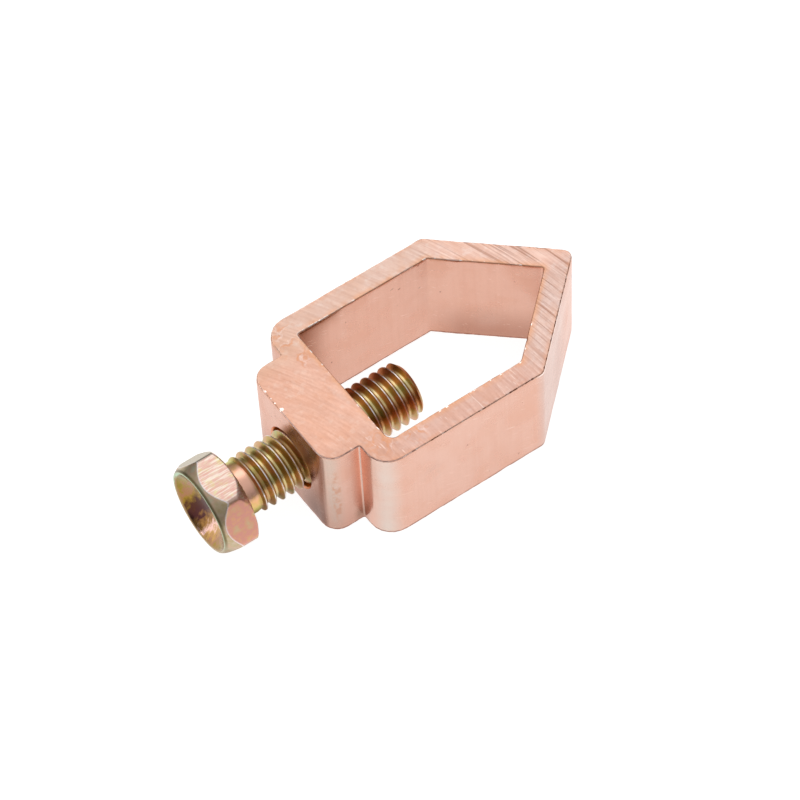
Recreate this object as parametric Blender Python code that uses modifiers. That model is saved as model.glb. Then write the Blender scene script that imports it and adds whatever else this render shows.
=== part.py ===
"""Earth rod clamp: a copper ring sawn from a drawn section, and the hexagon bolt that closes it.

The clamp lies flat on its lower sawn face. The origin is on that face, midway along the shoulder
line, where the boss meets the ring. +Y points from the boss to the point of the ring, +X across
it, and +Z up through the sawn length. The bolt runs along +Y, with its head on the -Y side.
All sizes are in metres.
"""

import math

import bmesh
import bpy
from mathutils import Matrix

# Ring, seen from above
RING_WIDTH = 0.0310
SIDE_LENGTH = 0.0290
POINT_RISE = 0.0170
SAWN_LENGTH = 0.0185
SIDE_WALL = 0.0037
BASE_WALL = 0.0041

# Boss that carries the thread
BOSS_WIDTH = 0.0201
BOSS_DEPTH = 0.00575

# Corner radii of the section
SHOULDER_RADIUS = 0.0038
BOSS_RADIUS = 0.0028
BOSS_ROOT_RADIUS = 0.0003
BEND_RADIUS = 0.0014
POINT_RADIUS = 0.0014
INNER_SHARP_RADIUS = 0.0004
INNER_WORN_RADIUS = 0.0013

# Thread, 3/8 inch with 16 turns to the inch, right-handed
THREAD_CREST_RADIUS = 0.00472
THREAD_PITCH = 0.0015875
THREAD_DEPTH = 0.58 * THREAD_PITCH
THREAD_CREST_FLAT = THREAD_PITCH / 8
THREAD_FLANK_ANGLE = math.radians(30)
THREAD_START = math.radians(3)
THREAD_CLEARANCE = 0.00006
THREAD_RUN_IN = 0.0028
MOUTH_CHAMFER = 0.0005

# Bolt
BOLT_HEIGHT = 0.0087
BOLT_LENGTH = 0.03175
NECK_INSET = 0.00042
NECK_LENGTH = 0.0020
TIP_CHAMFER = 0.0009
HEAD_STANDOFF = 0.0106

# Hexagon head with a dished top
HEAD_ACROSS_FLATS = 0.01429
HEAD_HEIGHT = 0.0057
HEAD_EDGE_BEVEL = 0.0004
HEAD_TURN = math.radians(52)
RIM_INSET = 0.00035
RIM_LAND = 0.0003
CROWN_DROP = 0.0024
UNDER_CHAMFER = 0.0008
DISH_DEPTH = 0.0013

# Worked out from the sizes above
NECK_RADIUS = THREAD_CREST_RADIUS - NECK_INSET
HEAD_CORNER_RADIUS = HEAD_ACROSS_FLATS / 2 / math.cos(math.pi / 6)
RIM_RADIUS = HEAD_ACROSS_FLATS / 2 - RIM_INSET
DISH_RADIUS = RIM_RADIUS - RIM_LAND

# Fineness of the round shapes
ARC_STEP = math.radians(15)
ROUND_SEGMENTS = 48
TURN_SEGMENTS = 24
SMOOTH_ANGLE = math.radians(25)

# How far a cutting shape runs past what it cuts
OVERRUN = 0.0002

# How far the thread's ridge sinks into the core that carries it
ROOT_SINK = THREAD_DEPTH / 10

# Points closer together than this are one point
WELD_DISTANCE = 1e-7

COPPER = ("copper", (0.86, 0.52, 0.40, 1.0), 0.36)
ZINC = ("yellow_zinc", (0.62, 0.50, 0.24, 1.0), 0.30)


def clear_scene():
    """Removes whatever the scene starts with."""
    for scene_object in list(bpy.data.objects):
        bpy.data.objects.remove(scene_object, do_unlink=True)


def make_collection(name):
    """A collection of that name, linked to the scene."""
    collection = bpy.data.collections.new(name)
    bpy.context.scene.collection.children.link(collection)
    return collection


def make_material(name, colour, roughness):
    """A bare metal."""
    material = bpy.data.materials.new(name)
    material.use_nodes = True
    shader = material.node_tree.nodes["Principled BSDF"]
    shader.inputs["Base Color"].default_value = colour
    shader.inputs["Roughness"].default_value = roughness
    shader.inputs["Metallic"].default_value = 1.0
    return material


def add_object(name, mesh, collection):
    """An object around the mesh, in the collection."""
    added = bpy.data.objects.new(name, mesh)
    collection.objects.link(added)
    return added


def as_cutter(cutter):
    """Marks an object as a cutting shape."""
    cutter.hide_render = True
    cutter.display_type = "WIRE"
    return cutter


def combine(target, tool, operation):
    """Puts an exact Boolean of that kind on the target."""
    modifier = target.modifiers.new(tool.name, "BOOLEAN")
    modifier.operation = operation
    modifier.object = tool
    modifier.solver = "EXACT"


def evaluated_mesh(source):
    """The mesh of an object with its modifiers, as a new mesh."""
    depsgraph = bpy.context.evaluated_depsgraph_get()
    return bpy.data.meshes.new_from_object(source.evaluated_get(depsgraph))


def close_mesh(mesh):
    """Welds the mesh, closes its open ends and turns its faces outward."""
    shape = bmesh.new()
    shape.from_mesh(mesh)
    bmesh.ops.remove_doubles(shape, verts=shape.verts, dist=WELD_DISTANCE)
    open_edges = [edge for edge in shape.edges if edge.is_boundary]
    if open_edges:
        bmesh.ops.holes_fill(shape, edges=open_edges)
    bmesh.ops.recalc_face_normals(shape, faces=shape.faces)
    shape.to_mesh(mesh)
    shape.free()


def rounded_outline(corners):
    """A closed outline, counter-clockwise: each corner is x, y and its radius, in steps of an arc."""
    points = []
    for index, (x, y, radius) in enumerate(corners):
        before = corners[index - 1]
        after = corners[(index + 1) % len(corners)]
        heading_in = math.atan2(y - before[1], x - before[0])
        heading_out = math.atan2(after[1] - y, after[0] - x)
        turn = math.remainder(heading_out - heading_in, math.tau)
        setback = radius * math.tan(abs(turn) / 2)
        side = math.copysign(1, turn)
        centre_x = x - setback * math.cos(heading_in) - side * radius * math.sin(heading_in)
        centre_y = y - setback * math.sin(heading_in) + side * radius * math.cos(heading_in)
        steps = max(2, round(abs(turn) / ARC_STEP))
        for step in range(steps + 1):
            heading = heading_in + turn * step / steps
            points.append(
                (
                    centre_x + side * radius * math.sin(heading),
                    centre_y - side * radius * math.cos(heading),
                )
            )
    return points


def add_outline(curve, points):
    """Adds a closed run of straight stretches to a flat curve."""
    spline = curve.splines.new("POLY")
    spline.points.add(len(points) - 1)
    for spline_point, (x, y) in zip(spline.points, points):
        spline_point.co = (x, y, 0, 1)
    spline.use_cyclic_u = True


def ring_outside():
    """Corners of the section's outer outline, from the boss round the ring."""
    half_ring = RING_WIDTH / 2
    half_boss = BOSS_WIDTH / 2
    point_y = SIDE_LENGTH + POINT_RISE
    shoulder_radius = min(SHOULDER_RADIUS, half_ring - half_boss - 2 * BOSS_ROOT_RADIUS)
    return [
        (half_boss, -BOSS_DEPTH, BOSS_RADIUS),
        (half_boss, 0, BOSS_ROOT_RADIUS),
        (half_ring, 0, shoulder_radius),
        (half_ring, SIDE_LENGTH, BEND_RADIUS),
        (0, point_y, POINT_RADIUS),
        (-half_ring, SIDE_LENGTH, BEND_RADIUS),
        (-half_ring, 0, shoulder_radius),
        (-half_boss, 0, BOSS_ROOT_RADIUS),
        (-half_boss, -BOSS_DEPTH, BOSS_RADIUS),
    ]


def ring_inside():
    """Corners of the opening: sides and slopes one wall inside the outline, base at its own wall."""
    half_ring = RING_WIDTH / 2
    half_opening = half_ring - SIDE_WALL
    slope = math.hypot(half_ring, POINT_RISE)
    point_y = SIDE_LENGTH + POINT_RISE - SIDE_WALL * slope / half_ring
    bend_y = point_y - half_opening * POINT_RISE / half_ring
    return [
        (half_opening, BASE_WALL, INNER_WORN_RADIUS),
        (half_opening, bend_y, INNER_WORN_RADIUS),
        (0, point_y, INNER_SHARP_RADIUS),
        (-half_opening, bend_y, INNER_SHARP_RADIUS),
        (-half_opening, BASE_WALL, INNER_SHARP_RADIUS),
    ]


def turned(name, profile, collection):
    """A solid turned about its own Z axis: profile points are radius and height, bottom to top."""
    mesh = bpy.data.meshes.new(name)
    points = [(radius, 0, height) for radius, height in reversed(profile)]
    mesh.from_pydata(points, [(n, n + 1) for n in range(len(points) - 1)], [])
    solid = add_object(name, mesh, collection)
    screw = solid.modifiers.new("Turn", "SCREW")
    screw.angle = math.tau
    screw.steps = ROUND_SEGMENTS
    screw.render_steps = ROUND_SEGMENTS
    screw.use_merge_vertices = True
    screw.merge_threshold = WELD_DISTANCE
    closed = evaluated_mesh(solid)
    close_mesh(closed)
    solid.modifiers.clear()
    solid.data = closed
    return solid


def along_bolt_axis(placed, distance):
    """Turns an object's Z axis along +Y, at that distance from the boss face on the bolt's axis."""
    placed.rotation_euler = (-math.pi / 2, 0, 0)
    placed.location = (0, distance - BOSS_DEPTH, BOLT_HEIGHT)


def bore_radius():
    """Corner radius of the faceted bore, whose flats stay clear of the thread's crests."""
    return (THREAD_CREST_RADIUS + THREAD_CLEARANCE) / math.cos(math.pi / ROUND_SEGMENTS)


def make_bore_cutter(cutters):
    """The threaded hole through boss and base, at its crest size, with a chamfer at each mouth."""
    radius = bore_radius()
    depth = BOSS_DEPTH + BASE_WALL
    mouth = radius + MOUTH_CHAMFER + OVERRUN
    profile = [
        (0, -OVERRUN),
        (mouth, -OVERRUN),
        (radius, MOUTH_CHAMFER),
        (radius, depth - MOUTH_CHAMFER),
        (mouth, depth + OVERRUN),
        (0, depth + OVERRUN),
    ]
    cutter = as_cutter(turned("bore_cutter", profile, cutters))
    along_bolt_axis(cutter, 0)
    return cutter


def make_clamp_body(parts, cutters, material):
    """The one-piece ring and boss, sawn from the section and bored for the bolt."""
    curve = bpy.data.curves.new("section", "CURVE")
    curve.dimensions = "2D"
    curve.fill_mode = "BOTH"
    curve.extrude = SAWN_LENGTH / 2
    add_outline(curve, rounded_outline(ring_outside()))
    add_outline(curve, rounded_outline(ring_inside()))
    section = add_object("section", curve, parts)
    mesh = evaluated_mesh(section)
    close_mesh(mesh)
    bpy.data.objects.remove(section, do_unlink=True)
    body = add_object("clamp_body", mesh, parts)
    body.location = (0, 0, SAWN_LENGTH / 2)
    mesh.materials.append(material)
    combine(body, make_bore_cutter(cutters), "DIFFERENCE")
    return body


def thread_ridge(cutters):
    """The thread's ridge as one closed helix, rooted in the core, from the neck to past the tip."""
    half_crest = THREAD_CREST_FLAT / 2
    half_root = half_crest + (THREAD_DEPTH + ROOT_SINK) * math.tan(THREAD_FLANK_ANGLE)
    sunk_radius = THREAD_CREST_RADIUS - THREAD_DEPTH - ROOT_SINK
    first_turn = math.floor(NECK_LENGTH / THREAD_PITCH) - 1
    start = first_turn * THREAD_PITCH
    section = [
        (THREAD_CREST_RADIUS, start + half_crest),
        (THREAD_CREST_RADIUS, start - half_crest),
        (sunk_radius, start - half_root),
        (sunk_radius, start + half_root),
    ]
    mesh = bpy.data.meshes.new("thread_ridge")
    count = len(section)
    edges = [(n, (n + 1) % count) for n in range(count)]
    mesh.from_pydata([(radius, 0, height) for radius, height in section], edges, [])
    ridge = add_object("thread_ridge", mesh, cutters)
    screw = ridge.modifiers.new("Helix", "SCREW")
    screw.angle = math.tau
    screw.screw_offset = THREAD_PITCH
    screw.iterations = math.ceil(BOLT_LENGTH / THREAD_PITCH) + 1 - first_turn
    screw.steps = TURN_SEGMENTS
    screw.render_steps = TURN_SEGMENTS
    closed = evaluated_mesh(ridge)
    close_mesh(closed)
    ridge.modifiers.clear()
    ridge.data = closed
    ridge.rotation_euler = (0, 0, THREAD_START)
    combine(ridge, ridge_limit(cutters), "INTERSECT")
    return as_cutter(ridge)


def ridge_limit(cutters):
    """The space that the ridge may fill: it rises out of the neck to its full height."""
    outside = THREAD_CREST_RADIUS + OVERRUN
    rise_per_length = (THREAD_CREST_RADIUS - NECK_RADIUS) / (THREAD_PITCH / 2)
    sunk_length = NECK_LENGTH / 2
    past_tip = BOLT_LENGTH + OVERRUN
    profile = [
        (0, NECK_LENGTH - sunk_length),
        (NECK_RADIUS - rise_per_length * sunk_length, NECK_LENGTH - sunk_length),
        (outside, NECK_LENGTH + (outside - NECK_RADIUS) / rise_per_length),
        (outside, past_tip),
        (0, past_tip),
    ]
    limit = as_cutter(turned("ridge_limit", profile, cutters))
    # Turned by half the thread's start, so that no point of it falls on a point of the ridge
    limit.rotation_euler = (0, 0, THREAD_START / 2)
    return limit


def bolt_core_profile():
    """Neck, run-in to the thread's root and the root itself, from inside the head to past the tip."""
    root_radius = THREAD_CREST_RADIUS - THREAD_DEPTH
    return [
        (0, -HEAD_HEIGHT / 4),
        (NECK_RADIUS, -HEAD_HEIGHT / 4),
        (NECK_RADIUS, NECK_LENGTH),
        (root_radius, NECK_LENGTH + THREAD_RUN_IN),
        (root_radius, BOLT_LENGTH + 2 * OVERRUN),
        (0, BOLT_LENGTH + 2 * OVERRUN),
    ]


def shank_blank(cutters):
    """The chamfered rod that the shank is cut from, which ends in the tip's flat face."""
    outside = THREAD_CREST_RADIUS + OVERRUN
    profile = [
        (0, -HEAD_HEIGHT / 2),
        (outside, -HEAD_HEIGHT / 2),
        (outside, BOLT_LENGTH - TIP_CHAMFER - OVERRUN),
        (THREAD_CREST_RADIUS - TIP_CHAMFER, BOLT_LENGTH),
        (0, BOLT_LENGTH),
    ]
    return as_cutter(turned("shank_blank", profile, cutters))


def head_envelope(cutters):
    """The dished, steep-shouldered shape that the hexagon is formed in, underside at height 0."""
    top = -HEAD_HEIGHT
    crown_slope = CROWN_DROP / (HEAD_CORNER_RADIUS - RIM_RADIUS)
    outside = HEAD_CORNER_RADIUS + OVERRUN
    under_radius = HEAD_CORNER_RADIUS - UNDER_CHAMFER
    dish = [
        (DISH_RADIUS * math.sin(angle), top + DISH_DEPTH * math.cos(angle))
        for angle in (step * ARC_STEP for step in range(round(math.pi / 2 / ARC_STEP)))
    ]
    shoulders = [
        (DISH_RADIUS, top),
        (RIM_RADIUS, top),
        (outside, top + CROWN_DROP + OVERRUN * crown_slope),
        (outside, -UNDER_CHAMFER - OVERRUN),
        (under_radius, 0),
        (0, 0),
    ]
    return as_cutter(turned("head_envelope", dish + shoulders, cutters))


def make_head(cutters):
    """The hexagon head, below the bolt's own origin, with a dish in its top."""
    bpy.ops.mesh.primitive_cylinder_add(
        vertices=6,
        radius=HEAD_CORNER_RADIUS,
        depth=HEAD_HEIGHT + 2 * OVERRUN,
        end_fill_type="NGON",
    )
    head = bpy.context.active_object
    head.name = "head"
    for collection in list(head.users_collection):
        collection.objects.unlink(head)
    cutters.objects.link(head)
    shape = bmesh.new()
    shape.from_mesh(head.data)
    upright = [edge for edge in shape.edges if abs(edge.verts[0].co.z - edge.verts[1].co.z) > HEAD_HEIGHT]
    bmesh.ops.bevel(shape, geom=upright, offset=HEAD_EDGE_BEVEL, segments=2, profile=0.5, affect="EDGES")
    # The hexagon starts with a corner on its own +Y axis
    first_corner = math.pi / 2
    bmesh.ops.rotate(
        shape,
        verts=shape.verts,
        cent=(0, 0, 0),
        matrix=Matrix.Rotation(-HEAD_TURN - first_corner, 3, "Z"),
    )
    bmesh.ops.translate(shape, verts=shape.verts, vec=(0, 0, -HEAD_HEIGHT / 2))
    shape.to_mesh(head.data)
    shape.free()
    combine(head, head_envelope(cutters), "INTERSECT")
    return as_cutter(head)


def make_bolt(parts, cutters, material):
    """The one-piece bolt: its own Z axis runs from the head's underside, at its origin, to the tip."""
    bolt = turned("bolt", bolt_core_profile(), parts)
    combine(bolt, thread_ridge(cutters), "UNION")
    combine(bolt, shank_blank(cutters), "INTERSECT")
    combine(bolt, make_head(cutters), "UNION")
    bolt.data.materials.append(material)
    return bolt


def shade_round(shaded, sharp_angle):
    """Smooth shading, with edges above that angle kept sharp."""
    shaded.data.shade_smooth()
    shaded.data.set_sharp_from_angle(angle=sharp_angle)


def main():
    clear_scene()
    parts = make_collection("earth_rod_clamp")
    cutters = make_collection("cutters")
    body = make_clamp_body(parts, cutters, make_material(*COPPER))
    bolt = make_bolt(parts, cutters, make_material(*ZINC))
    for piece in (body, bolt):
        finished = evaluated_mesh(piece)
        piece.modifiers.clear()
        piece.data = finished
        shade_round(piece, SMOOTH_ANGLE)
    along_bolt_axis(bolt, -HEAD_STANDOFF)


main()
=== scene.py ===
# %% [markdown]
# # Earth rod clamp
#
# A clamp of this kind joins an earthing wire to a rod in the ground. It has two pieces: a copper
# ring with a boss, sawn from a long drawn section, and a hexagon bolt with a yellow zinc finish.
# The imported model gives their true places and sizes. This script gives them their surfaces:
# a real thread, a dished head, sawn edges with burrs, and the metals' colours.

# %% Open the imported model
import math

import bmesh
import bpy
import numpy as np
from mathutils import Matrix, Vector


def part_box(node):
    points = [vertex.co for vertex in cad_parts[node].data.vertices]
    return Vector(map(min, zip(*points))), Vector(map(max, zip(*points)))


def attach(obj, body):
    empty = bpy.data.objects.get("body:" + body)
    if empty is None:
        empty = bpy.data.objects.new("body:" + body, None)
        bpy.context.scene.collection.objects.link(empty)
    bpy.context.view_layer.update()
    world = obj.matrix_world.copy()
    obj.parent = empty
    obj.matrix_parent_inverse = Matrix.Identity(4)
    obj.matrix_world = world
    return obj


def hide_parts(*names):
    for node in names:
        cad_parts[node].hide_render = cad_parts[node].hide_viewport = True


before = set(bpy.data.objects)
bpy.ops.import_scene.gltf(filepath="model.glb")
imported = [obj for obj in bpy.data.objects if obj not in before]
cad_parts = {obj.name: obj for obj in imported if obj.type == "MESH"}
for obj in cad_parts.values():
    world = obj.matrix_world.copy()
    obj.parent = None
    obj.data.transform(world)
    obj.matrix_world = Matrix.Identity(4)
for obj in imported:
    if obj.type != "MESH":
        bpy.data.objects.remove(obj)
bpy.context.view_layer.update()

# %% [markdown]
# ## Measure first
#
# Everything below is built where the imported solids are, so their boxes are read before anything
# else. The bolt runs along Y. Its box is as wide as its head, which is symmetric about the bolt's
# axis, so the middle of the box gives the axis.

body_low, body_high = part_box("clamp_body")
bolt_low, bolt_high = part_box("bolt")
SAWN_LENGTH = body_high.z - body_low.z
AXIS_X = (bolt_low.x + bolt_high.x) / 2
AXIS_Z = (bolt_low.z + bolt_high.z) / 2
print(f"the clamp is {1000 * SAWN_LENGTH:.1f} mm high, its bolt's axis {1000 * AXIS_Z:.1f} mm up")

# %% [markdown]
# ## The camera
#
# The photograph looks down on the clamp from the bolt's side, with a long lens. Three angles and
# a distance say where the camera is. Its three axes are worked out from them, which is safer than
# typing a rotation, because each axis can be checked by itself.

# %% Place the camera
VIEW_AZIMUTH = math.radians(57.57)
VIEW_ELEVATION = math.radians(54.53)
VIEW_ROLL = math.radians(-3.48)
VIEW_DISTANCE = 0.57304
VIEW_TARGET = Vector((0.001393, 0.012882, 0.00925))
LENS = 174.05
SENSOR_WIDTH = 36
NEAREST = 0.01


def put(name, data):
    """Puts a new object in the scene."""
    item = bpy.data.objects.new(name, data)
    bpy.context.scene.collection.objects.link(item)
    return item


level = math.cos(VIEW_ELEVATION)
back = Vector(
    (math.sin(VIEW_AZIMUTH) * level, -math.cos(VIEW_AZIMUTH) * level, math.sin(VIEW_ELEVATION))
)
level_right = Vector((math.cos(VIEW_AZIMUTH), math.sin(VIEW_AZIMUTH), 0))
level_up = back.cross(level_right)
right = level_right * math.cos(VIEW_ROLL) + level_up * math.sin(VIEW_ROLL)
up = level_up * math.cos(VIEW_ROLL) - level_right * math.sin(VIEW_ROLL)

camera = put("camera", bpy.data.cameras.new("camera"))
camera.data.lens = LENS
camera.data.sensor_width = SENSOR_WIDTH
camera.data.clip_start = NEAREST
turned = Matrix((right, up, back)).transposed().to_4x4()
camera.matrix_world = Matrix.Translation(VIEW_TARGET + VIEW_DISTANCE * back) @ turned
bpy.context.scene.camera = camera
print("the camera stands at", [round(value, 3) for value in camera.matrix_world.translation])

# %% [markdown]
# ## Helpers for node trees
#
# Materials and Geometry Nodes are both graphs of small steps, and typed node by node a short
# formula takes a page. So an output of a node is kept in a small class, and plain arithmetic on it
# adds the nodes. All helpers work on the tree that is open, which is always called tree. In it,
# plug fills an input, add makes a node, calc does one sum and remap carries a value from one range
# to another.


# %% Write the helpers
def sign(operation):
    """What a sign does to a node's output and, if it has one, the value on its other side."""
    return lambda output, *others: calc(operation, output, *others)


class Value:
    """An output of a node, which can be used in plain arithmetic."""

    def __init__(self, socket):
        self.socket = socket

    __add__, __sub__, __mul__ = sign("ADD"), sign("SUBTRACT"), sign("MULTIPLY")
    __truediv__, __pow__, __mod__ = sign("DIVIDE"), sign("POWER"), sign("MODULO")
    __gt__, __lt__, __abs__ = sign("GREATER_THAN"), sign("LESS_THAN"), sign("ABSOLUTE")

    def __rsub__(self, other):
        return calc("SUBTRACT", other, self)


def plug(value, socket):
    """Links a node's output to an input, or sets a plain value on it; None leaves it alone."""
    if isinstance(value, Value):
        tree.links.new(value.socket, socket)
    elif value is not None:
        socket.default_value = (*value, 1) if socket.type == "RGBA" else value


def add(kind, *inputs, output=0, **settings):
    """Adds a node to the open tree, fills its first inputs and returns one of its outputs."""
    node = tree.nodes.new(kind)
    for name, setting in settings.items():
        setattr(node, name, setting)
    for value, socket in zip(inputs, node.inputs):
        plug(value, socket)
    return Value(node.outputs[output])


def calc(operation, *values):
    """One step of arithmetic."""
    return add("ShaderNodeMath", *values, operation=operation)


def larger(first, second):
    """The larger of two values."""
    return calc("MAXIMUM", first, second)


def smaller(first, second):
    """The smaller of two values."""
    return calc("MINIMUM", first, second)


def remap(value, low, high, out_low=0.0, out_high=1.0, smooth=False):
    """Carries a value from one range to another, held at its ends."""
    kind = "SMOOTHSTEP" if smooth else "LINEAR"
    return add("ShaderNodeMapRange", value, low, high, out_low, out_high, interpolation_type=kind)


def parts(vector):
    """The three parts of a vector."""
    node = tree.nodes.new("ShaderNodeSeparateXYZ")
    plug(vector, node.inputs[0])
    return [Value(output) for output in node.outputs]


def ramp(value, stops):
    """A colour that follows a value from 0 to 1, by stops of a position and a colour."""
    node = tree.nodes.new("ShaderNodeValToRGB")
    elements = node.color_ramp.elements
    while len(elements) < len(stops):
        elements.new(0.5)
    for element, (position, colour) in zip(elements, stops):
        element.position = position
        element.color = (*colour, 1)
    plug(value, node.inputs[0])
    return Value(node.outputs[0])


def set_shader(**settings):
    """Sets inputs of the open material's shader, named with _ for each space."""
    for name, value in settings.items():
        plug(value, tree.nodes["Principled BSDF"].inputs[name.replace("_", " ")])


def open_material(name, **settings):
    """Makes a material, opens its tree and sets its shader."""
    global tree
    material = bpy.data.materials.new(name)
    material.use_nodes = True
    tree = material.node_tree
    set_shader(**settings)
    return material


print("helpers ready")

# %% [markdown]
# ## The floor
#
# Bare metal shows its surroundings more than its own colour, so the surroundings are part of the
# finish. The photograph was taken on a white table that shines a little by itself, which is why
# no shadow shows. Only the table near the clamp is bright: flat metal that faces sideways is pale,
# but the thread's flanks, which mirror the room beyond the table, are dark. The front of the boss
# is dark too, because it mirrors the shade under the bolt, and its low part is darkened further
# with painted shade. So mirror-like rays pass through two pieces of this floor, the oval under the
# bolt and the far floor. Just below the oval they meet a brown shade that fades towards its
# border, which the camera itself doesn't see.

# %% Lay the floor
TABLE_RADIUS = 0.105
FLOOR_RADIUS = 2.0
FLOOR_SIDES = 96
FLOOR_COLOUR = (0.50, 0.50, 0.50)
FLOOR_ROUGHNESS = 0.9
FLOOR_GLOW = 0.88
WHITE = (1, 1, 1)
SHADE_DEPTH = 0.0002
SHADE_COLOUR = (0.42, 0.30, 0.25)
SHADE_MIDDLE = (0.0035, -0.0150)
SHADE_HALF = (0.0056, 0.0093)
SHADE_FADES_FROM = 0.45
SAME_PLACE = 0.000001

floor_material = open_material(
    "white_table",
    Base_Color=FLOOR_COLOUR,
    Roughness=FLOOR_ROUGHNESS,
    Specular_IOR_Level=0,
    Emission_Color=WHITE,
    Emission_Strength=FLOOR_GLOW,
)


def oval(middle, half):
    """The border of an oval on the floor."""
    angles = [math.tau * number / FLOOR_SIDES for number in range(FLOOR_SIDES)]
    return [
        (middle[0] + half[0] * math.cos(turn), middle[1] + half[1] * math.sin(turn))
        for turn in angles
    ]


def finished(shell, name):
    """A mesh with what a bmesh shell holds, which is then freed."""
    mesh = bpy.data.meshes.new(name)
    shell.to_mesh(mesh)
    shell.free()
    return mesh


def lay_between(name, inner_border, outer_border, material=floor_material, height=0):
    """A flat piece of floor between two borders."""
    shell = bmesh.new()
    rows = [
        [shell.verts.new((x, y, height)) for x, y in border]
        for border in (inner_border, outer_border)
    ]
    for index in range(FLOOR_SIDES):
        after = (index + 1) % FLOOR_SIDES
        shell.faces.new((rows[0][index], rows[1][index], rows[1][after], rows[0][after]))
    bmesh.ops.remove_doubles(shell, verts=shell.verts, dist=SAME_PLACE)
    piece = put(name, finished(shell, name))
    piece.data.materials.append(material)
    return piece


shade_middle = oval(SHADE_MIDDLE, (0, 0))
shade_border = oval(SHADE_MIDDLE, SHADE_HALF)
table_border = oval(VIEW_TARGET, (TABLE_RADIUS, TABLE_RADIUS))
floor_border = oval(VIEW_TARGET, (FLOOR_RADIUS, FLOOR_RADIUS))
lay_between("table_near", shade_border, table_border)
lay_between("table_shaded", shade_middle, shade_border).visible_glossy = False
lay_between("table_far", table_border, floor_border).visible_glossy = False

shade_material = open_material(
    "shade_under_bolt", Base_Color=(0, 0, 0), Specular_IOR_Level=0, Emission_Strength=1
)
on_floor = add("ShaderNodeTexCoord", output="Object")
shade_place = (*SHADE_MIDDLE, -SHADE_DEPTH)
centred = add(
    "ShaderNodeMapping", on_floor, shade_place, None, (*SHADE_HALF, 1), vector_type="TEXTURE"
)
outwards = add("ShaderNodeVectorMath", centred, operation="LENGTH", output="Value")
set_shader(Emission_Color=ramp(outwards, ((SHADE_FADES_FROM, SHADE_COLOUR), (1.0, WHITE))))
shade = lay_between("shade_under_bolt", shade_middle, shade_border, shade_material, -SHADE_DEPTH)
shade.visible_camera = False
print("the table is bright for", round(1000 * TABLE_RADIUS), "mm round the clamp")

# %% [markdown]
# ## The lights
#
# Where a highlight sits on a round bar tells where the light is. Here it sits a third of the way
# down the thread, which puts one square soft light overhead and a little behind. A second, weaker
# one low in front gives the dish its one highlight and the boss's front edge its pale line, and
# both are painted into the finishes as well, as painted highlights. The room itself is dim, and
# darkest at the horizon.

# %% Hang the lights
LIGHT_DISTANCE = 0.9
HORIZON_GLOW = (-0.05, 0.07)
ZENITH_GLOW = (0.75, 0.70)
SKY_COLOUR = (0.97, 0.98, 1.0)


def hang_panel(name, width, length, brightness, direction):
    """A flat light of that brightness, in that direction from the clamp, facing it."""
    light = bpy.data.lights.new(name, "AREA")
    light.shape = "RECTANGLE"
    light.size = width
    light.size_y = length
    light.energy = brightness * math.pi * width * length
    panel = put(name, light)
    away = Vector(direction).normalized()
    panel.location = VIEW_TARGET + away * LIGHT_DISTANCE
    panel.rotation_mode = "QUATERNION"
    panel.rotation_quaternion = away.to_track_quat("Z", "Y")


hang_panel("overhead_light", 0.50, 0.50, 1.15, (-0.34, 0.31, 0.88))
hang_panel("front_light", 0.45, 0.20, 2.4, (-0.58, -0.80, 0.17))

world = bpy.data.worlds.new("studio")
world.use_nodes = True
tree = world.node_tree
upward = parts(add("ShaderNodeTexCoord", output="Generated"))[2]
glow = remap(upward, HORIZON_GLOW[0], ZENITH_GLOW[0], HORIZON_GLOW[1], ZENITH_GLOW[1])
plug(SKY_COLOUR, tree.nodes["Background"].inputs["Color"])
plug(glow, tree.nodes["Background"].inputs["Strength"])
bpy.context.scene.world = world
bpy.context.scene.view_settings.view_transform = "Standard"
print("two soft lights in a dim room")

# %% [markdown]
# ## A first look at the two metals
#
# A material is needed before a piece can be made, because the node trees hand it on. Each finish
# gets its own cell further down, where its colours and scratches are built. Here they only get
# their names, so that the shapes can be made and looked at first.

# %% Name the finishes
COPPER = ("copper_sawn", "copper_drawn", "copper_thread")
ZINC = ("zinc_thread", "zinc_flats", "zinc_crown", "zinc_dish")
finish = {name: open_material(name) for name in COPPER + ZINC}
print(len(finish), "finishes named")

# %% [markdown]
# ## The thread
#
# A screw thread is one ridge wound round a cylinder. It could be cut with a Screw modifier, but
# then its ends stop short like a cut rope. Here a flat grid is rolled up instead: its columns go
# round the bolt, its rows climb with the ridge, and a formula gives each point its radius. The
# same formula lets the ridge fade into the unthreaded neck and cuts the chamfer at the tip. All
# rows past either end are gathered into one small circle, which closes the mesh there.
# Geometry Nodes suit this well, because the tree can be run again with other sizes. The second
# run makes the tap that cuts the hole in the boss.

# %% Build the thread tree
THREAD_COLUMNS = 96
ROWS_PER_TURN = 20
TURNS = 24
TURNS_BELOW = 2.5
THREAD_START = math.radians(3)
FLANK_SLOPE = math.tan(math.radians(60))
UNDERHEAD_FILLET = 0.00035
BLEND = 0.00006
END_ROW = 0.0001


def open_geometry(name, *sizes):
    """Opens a Geometry Nodes tree with a named input for each size; returns its inputs."""
    global tree
    tree = bpy.data.node_groups.new(name, "GeometryNodeTree")
    ways_in = [("Geometry", "Geometry"), *((size_name, "Float") for size_name in sizes)]
    for socket_name, kind in (*ways_in, ("Material", "Material")):
        tree.interface.new_socket(socket_name, in_out="INPUT", socket_type="NodeSocket" + kind)
    tree.interface.new_socket("Geometry", in_out="OUTPUT", socket_type="NodeSocketGeometry")
    inputs = tree.nodes.new("NodeGroupInput").outputs
    return {socket_name: Value(inputs[socket_name]) for socket_name in (*sizes, "Material")}


def flat_grid(columns, rows):
    """A flat grid, with how far each point lies across and along it, from 0 to 1."""
    grid = add("GeometryNodeMeshGrid", 1, 1, columns + 1, rows + 1)
    across, along, _ = parts(add("GeometryNodeInputPosition"))
    return grid, across + 0.5, along + 0.5


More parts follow.
